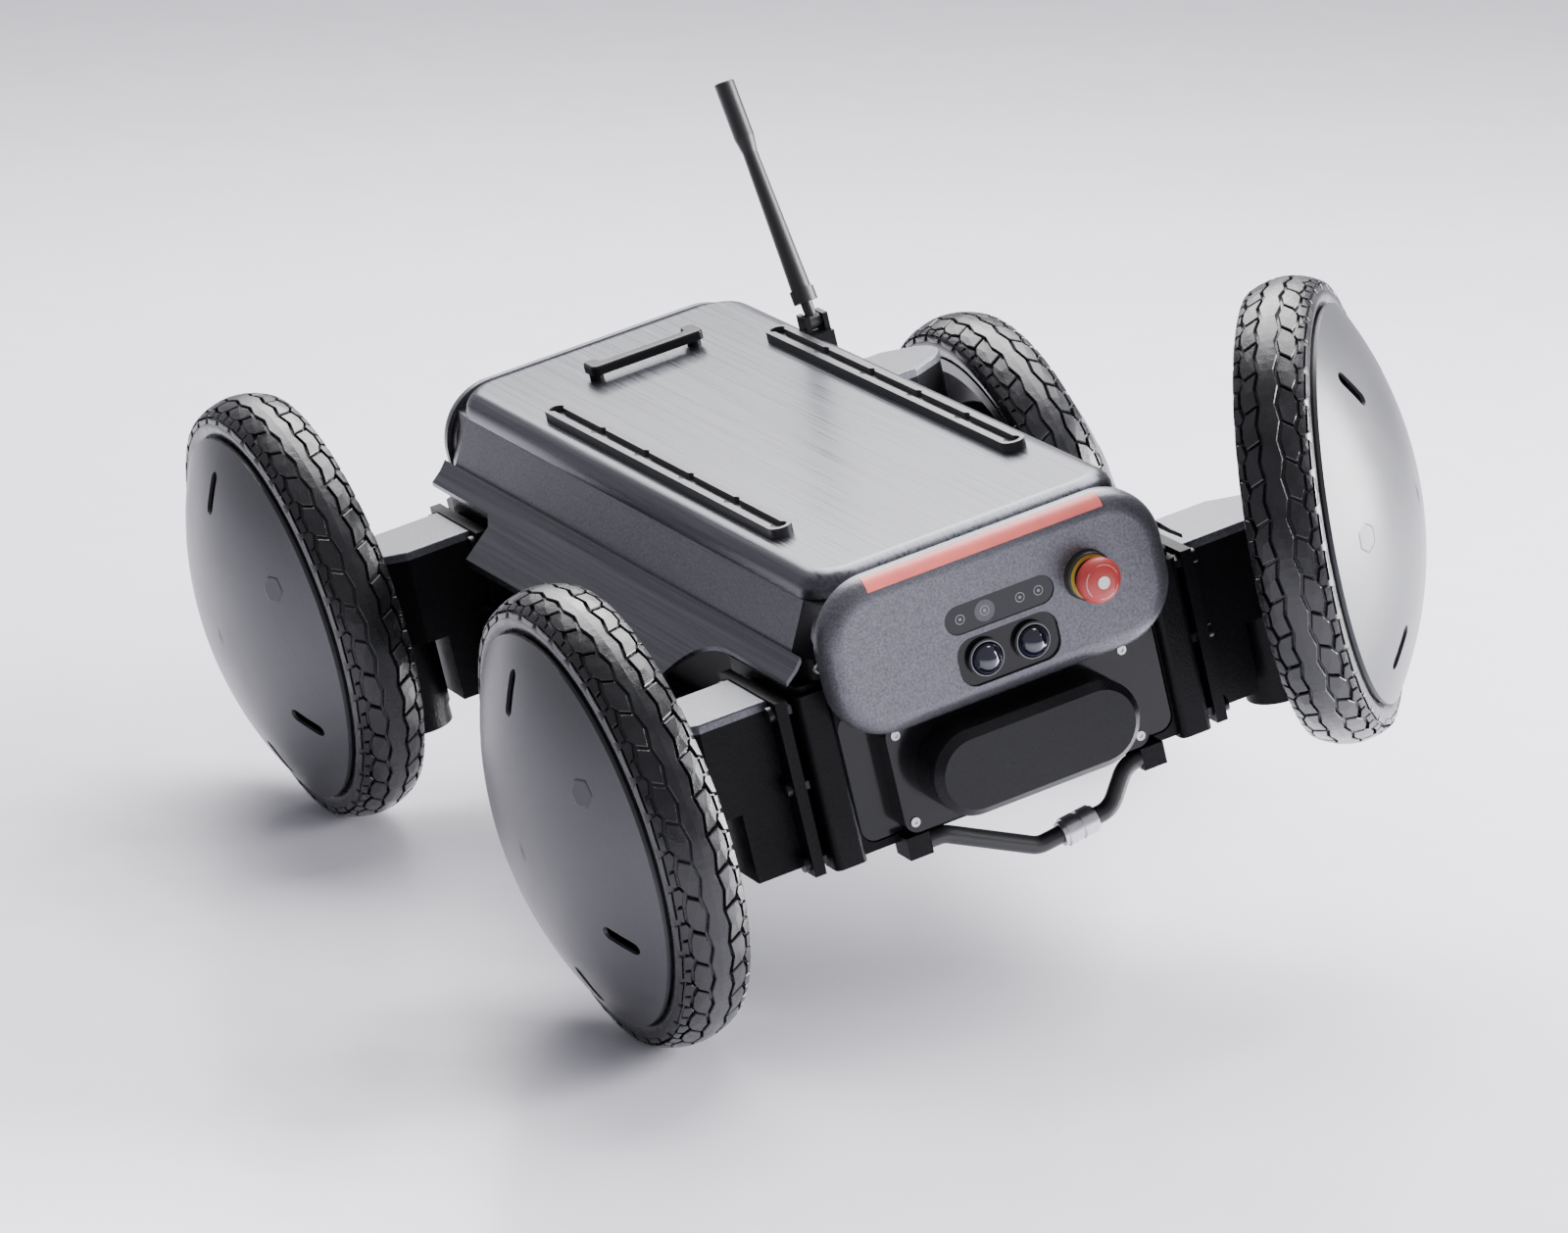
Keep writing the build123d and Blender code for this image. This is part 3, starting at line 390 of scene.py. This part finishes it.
def tread_outlines(side, k, pitch):
    """The blocks of one pitch on one side: a large one, two at the shoulder, one on the wall."""
    half = pitch / 2
    middle = (k + 0.5 + (0.5 if side > 0 else 0.0)) * pitch
    slant = 0.30 * half
    gap = 2 * GROOVE

    def inner(ds):
        return rib_edge(middle + ds, pitch) + gap

    large = [
        (-half + GROOVE, inner(-half + GROOVE)),
        (0.0, inner(0.0)),
        (half - GROOVE, inner(half - GROOVE)),
        (half - GROOVE + slant, 0.0215),
        (half * 0.35 + slant, 0.0248),
        (-half * 0.45 + slant, 0.0248),
        (-half + GROOVE + slant, 0.0205),
    ]
    upper = [
        (half * 0.6 + slant, 0.0268),
        (half * 1.25 + slant, 0.0236),
        (half * 1.5 + slant, 0.0262),
        (half * 1.42 + slant, 0.0318),
        (half * 0.5 + slant, 0.0322),
    ]
    lower = [
        (-half * 0.4 + slant, 0.0272),
        (half * 0.42 + slant, 0.0272),
        (half * 0.36 + slant, 0.0325),
        (-half * 0.34 + slant, 0.0330),
    ]
    wall = [
        (-half * 0.3 + slant, 0.0352),
        (half * 1.35 + slant, 0.0345),
        (half * 1.25 + slant, 0.0392),
        (-half * 0.2 + slant, 0.0398),
    ]
    outlines = []
    for shape in (large, upper, lower, wall):
        points = [(middle + s, side * t) for s, t in shape]
        outlines.append(points if side > 0 else points[::-1])
    return outlines


def axle_matrix(frame, corner):
    """Wheel frame: z outward along the axle, origin at the tyre's centre."""
    low, high = (Vector(v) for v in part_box("tyre_" + corner))
    joint = next(j for j in frame["joints"] if j["name"] == "spin_" + corner)
    out = Vector(joint["axis"]).normalized()
    up = Vector((0, 0, 1))
    across = up.cross(out)
    turn = Matrix((across, up, out)).transposed().to_4x4()
    return Matrix.Translation((low + high) / 2) @ turn


def make_tyre(frame, corner):
    """One treaded tyre, in place of the CAD one."""
    tyre = TyreMesh(axle_matrix(frame, corner))
    tyre.carcass()
    pitch = 2 * math.pi * TREAD_RADIUS / TREAD_PITCHES
    tyre.rib(pitch)
    for k in range(TREAD_PITCHES):
        for side in (1, -1):
            for outline in tread_outlines(side, k, pitch):
                depth = groove_depth(outline[0][1]) + 0.001
                tyre.block(outline, depth)
    obj = new_piece(
        "tread_" + corner,
        tyre.vertices,
        tyre.faces,
        "wheel_" + corner,
        MATERIALS["tyre"],
        tyre.smooth,
    )
    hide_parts("tyre_" + corner)
    return obj


# ---- small details -----------------------------------------------------------------------


def lathe(name, body, material, plane, outline, arcs=((0.0, 1.0),), count=48):
    """Turns an outline of (radius, height) points about a plane's z, over parts of a turn."""
    vertices = []
    faces = []
    rows = len(outline)
    for start, end in arcs:
        whole = end - start == 1
        steps = max(3, round(count * (end - start)))
        first = len(vertices)
        for k in range(steps if whole else steps + 1):
            angle = 2 * math.pi * (start + (end - start) * k / steps)
            for radius, height in outline:
                at = Vector((radius * math.cos(angle), radius * math.sin(angle), height))
                vertices.append(plane @ at)
        for k in range(steps):
            a = first + k * rows
            b = first + ((k + 1) % steps if whole else k + 1) * rows
            faces.extend((a + j, b + j, b + j + 1, a + j + 1) for j in range(rows - 1))
    return new_piece(name, vertices, faces, body, material)


def facing(at, out):
    """A plane at a point whose z looks along a direction and whose x stays level."""
    out = out.normalized()
    across = Vector((0, 0, 1)).cross(out).normalized()
    matrix = Matrix((across, out.cross(across), out)).transposed().to_4x4()
    matrix.translation = at
    return matrix


def face_plane(node, y, z):
    """A plane on the front of a node, looking forward."""
    return facing(Vector((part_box(node)[1].x, y, z)), Vector((1, 0, 0)))


def dot(name, body, material, plane, radius, height=0.0002):
    return lathe(name, body, material, plane, ((0.0, height), (radius, height), (radius, 0.0)))


def hoop(name, body, material, plane, inner, outer, height=0.0003):
    outline = ((inner, 0.0), (inner, height), (outer, height), (outer, 0.0))
    return lathe(name, body, material, plane, outline)


def dress_stop_button():
    """The white target on the cap and the yellow ring on the collar."""
    cap = face_plane("estop_cap", STOP_Y, STOP_Z)
    dot("stop_dot", "estop_button", EXTRA["mark_white"], cap, 0.0055)
    dome = ((0.0118, -0.00145), (0.0134, -0.0021), (0.0150, -0.00285))
    arcs = ((0.03, 0.27), (0.365, 0.605), (0.70, 0.94))
    lathe("stop_arcs", "estop_button", EXTRA["mark_white"], cap, dome, arcs, 96)
    collar = face_plane("estop_base", STOP_Y, STOP_Z)
    hoop("stop_ring", "chassis", EXTRA["ring_yellow"], collar, 0.0165, 0.0195)


def dress_depth_window():
    """The four lenses behind the depth window; the widest one sits on a grey disc, and a light grey dot at each
    lens centre is a painted glint.
    """
    for index, (y, reach) in enumerate(WINDOW_LENSES):
        plane = face_plane("depth_window", y, WINDOW_Z)
        name = f"window_lens_{index + 1}"
        if reach > 0.008:
            dot(name + "_disc", "chassis", EXTRA["lens_disc"], plane, reach)
        hoop(name + "_ring", "chassis", EXTRA["lens_ring_and_highlight"], plane, 0.0036, 0.0044)
        # painted glint: a small light grey dot at the centre of each lens
        dot(name + "_dot", "chassis", EXTRA["lens_ring_and_highlight"], plane, 0.0014, 0.0003)


def dress_twin_lenses():
    """A light grey lip round each of the two lens barrels: the barrel's rim, painted light grey as a painted edge
    highlight.
    """
    for side in (1, -1):
        plane = face_plane("twin_lens_module", side * TWIN_LENS_Y, TWIN_LENS_Z)
        # painted edge highlight: a thin light grey ring on each barrel rim
        hoop(f"barrel_lip_highlight_{side + 2}", "chassis", EXTRA["lens_ring_and_highlight"], plane, 0.0148, 0.0155)


def dress_ring_screws():
    """One socket screw on each flank of the front cover's ring."""
    x, y, z = RING_SCREW
    for side in (1, -1):
        plane = facing(Vector((x, side * y, z)), Vector((0.75, side * 0.66, 0.0)))
        head = ((0.0022, 0.002), (0.0022, 0.0035), (0.0045, 0.0035), (0.0048, 0.0), (0.0, 0.0))
        lathe(f"ring_screw_{side + 2}", "chassis", MATERIALS["screw_steel"], plane, head)


def dress_seam():
    """Three short slots at each end of both seams; one at the rear holds a red lamp."""
    inward, upward = SEAM_SLOPE
    low, high = SEAM_SLOT_LOW, SEAM_SLOT_HIGH
    for side in (1, -1):
        for index, (start, end) in enumerate(SEAM_SLOTS):
            corners = []
            for x, rise in ((start, low), (end, low), (end, high), (start, high)):
                y = SEAM_Y - inward * rise + upward * SEAM_PROUD
                z = SEAM_Z + upward * rise + inward * SEAM_PROUD
                corners.append((x, side * y, z))
            material = EXTRA["dash_red" if index == LAMP_SLOT else "seam_black"]
            name = f"seam_slot_{index + 1}_{'left' if side > 0 else 'right'}"
            new_piece(name, corners, [(0, 1, 2, 3)], "chassis", material)


def make_plug(frame, corner):
    """The rounded six-sided plug that fills the seat in a wheel cover."""
    side = 1 if "left" in corner else -1
    out = next(j for j in frame["joints"] if j["name"] == "spin_" + corner)["axis"]
    out = Vector(out).normalized()
    if out.y * side < 0:
        out = -out
    up = Vector((0, 0, 1))
    low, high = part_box("tyre_" + corner)
    angle = side * math.radians(90 - PLUG_ANGLES[corner])
    radial = up * math.cos(angle) + out.cross(up) * math.sin(angle)
    tilt = PLUG_CIRCLE / DOME_BALL
    normal = radial * tilt + out * math.sqrt(1 - tilt**2)
    at = (low + high) / 2 + radial * PLUG_CIRCLE + out * PLUG_HEIGHT
    tangent = radial.cross(out)
    plane = Matrix((tangent, normal.cross(tangent), normal)).transposed().to_4x4()
    plane.translation = at
    rings = []
    vertices = []
    for scale, height in ((0.86, 0.0002), (1.0, -0.0003), (1.0, -0.0011)):
        ring = []
        for k in range(PLUG_POINTS):
            turn = 2 * math.pi * k / PLUG_POINTS
            radius = scale * (PLUG_RADIUS + PLUG_CORNERS * math.cos(6 * turn))
            at = Vector((radius * math.cos(turn), radius * math.sin(turn), height))
            ring.append(len(vertices))
            vertices.append(plane @ at)
        rings.append(ring)
    faces = [tuple(rings[0])]
    for upper, lower in zip(rings, rings[1:]):
        for k in range(PLUG_POINTS):
            n = (k + 1) % PLUG_POINTS
            faces.append((upper[k], lower[k], lower[n], upper[n]))
    new_piece("plug_" + corner, vertices, faces, "wheel_" + corner, EXTRA["plug_grey"])


# ---- stage -------------------------------------------------------------------------------


def floor_frame():
    """Floor axes: right as the camera sees it, away from the camera, up."""
    up = FLOOR_UP.normalized()
    right = (CAMERA_RIGHT - CAMERA_RIGHT.dot(up) * up).normalized()
    near = right.cross(up)
    matrix = Matrix((right, -near, up)).transposed().to_4x4()
    matrix.translation = up * FLOOR_OFFSET
    return matrix


def add_area(name, at, aim, size, power, colour, ground):
    """An area light placed in floor axes: right, away from the camera, up."""
    data = bpy.data.lights.new(name, "AREA")
    data.shape = "RECTANGLE"
    data.size, data.size_y = size
    data.energy = power
    data.color = colour
    light = bpy.data.objects.new(name, data)
    bpy.context.collection.objects.link(light)
    place = ground @ Vector(at)
    target = ground @ Vector(aim)
    light.matrix_world = Matrix.Translation(place) @ (
        (target - place).to_track_quat("-Z", "Y").to_matrix().to_4x4()
    )
    return light


def make_stage():
    """The floor, three soft lights and a pale even surrounding."""
    ground = floor_frame()
    mesh = bpy.data.meshes.new("floor")
    half = FLOOR_HALF
    corners = [(-half, -half, 0), (half, -half, 0), (half, half, 0), (-half, half, 0)]
    mesh.from_pydata(corners, [], [(0, 1, 2, 3)])
    floor = bpy.data.objects.new("floor", mesh)
    bpy.context.collection.objects.link(floor)
    mesh.materials.append(EXTRA["floor"])
    floor.matrix_world = ground
    lights = [add_area(name, *values, ground) for name, values in LIGHTS.items()]
    world = bpy.data.worlds.new("studio")
    world.use_nodes = True
    background = world.node_tree.nodes["Background"]
    background.inputs["Color"].default_value = (0.92, 0.91, 1.0, 1)
    background.inputs["Strength"].default_value = 0.5
    bpy.context.scene.world = world


def make_camera():
    """The camera in front of the right front corner, above the lid."""
    data = bpy.data.cameras.new("camera")
    data.sensor_width = 36
    data.sensor_fit = "HORIZONTAL"
    data.lens = CAMERA_LENS
    data.clip_end = 100
    camera = bpy.data.objects.new("camera", data)
    bpy.context.collection.objects.link(camera)
    right = CAMERA_RIGHT.normalized()
    up = -CAMERA_DOWN.normalized()
    matrix = Matrix((right, up, right.cross(up))).transposed().to_4x4()
    matrix.translation = CAMERA_AT
    camera.matrix_world = matrix
    bpy.context.scene.camera = camera


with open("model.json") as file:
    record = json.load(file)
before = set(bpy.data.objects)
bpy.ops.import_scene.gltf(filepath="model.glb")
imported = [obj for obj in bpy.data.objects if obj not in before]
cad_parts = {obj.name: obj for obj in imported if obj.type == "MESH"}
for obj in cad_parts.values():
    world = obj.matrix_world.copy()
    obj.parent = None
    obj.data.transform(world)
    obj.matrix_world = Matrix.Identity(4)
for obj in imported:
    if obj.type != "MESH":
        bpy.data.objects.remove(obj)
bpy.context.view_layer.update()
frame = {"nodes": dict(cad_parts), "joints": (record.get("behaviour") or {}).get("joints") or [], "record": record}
dress_frame(frame)
for corner in CORNERS:
    make_tyre(frame, corner)
    make_plug(frame, corner)
dress_stop_button()
dress_depth_window()
dress_twin_lenses()
dress_ring_screws()
dress_seam()
make_stage()
make_camera()
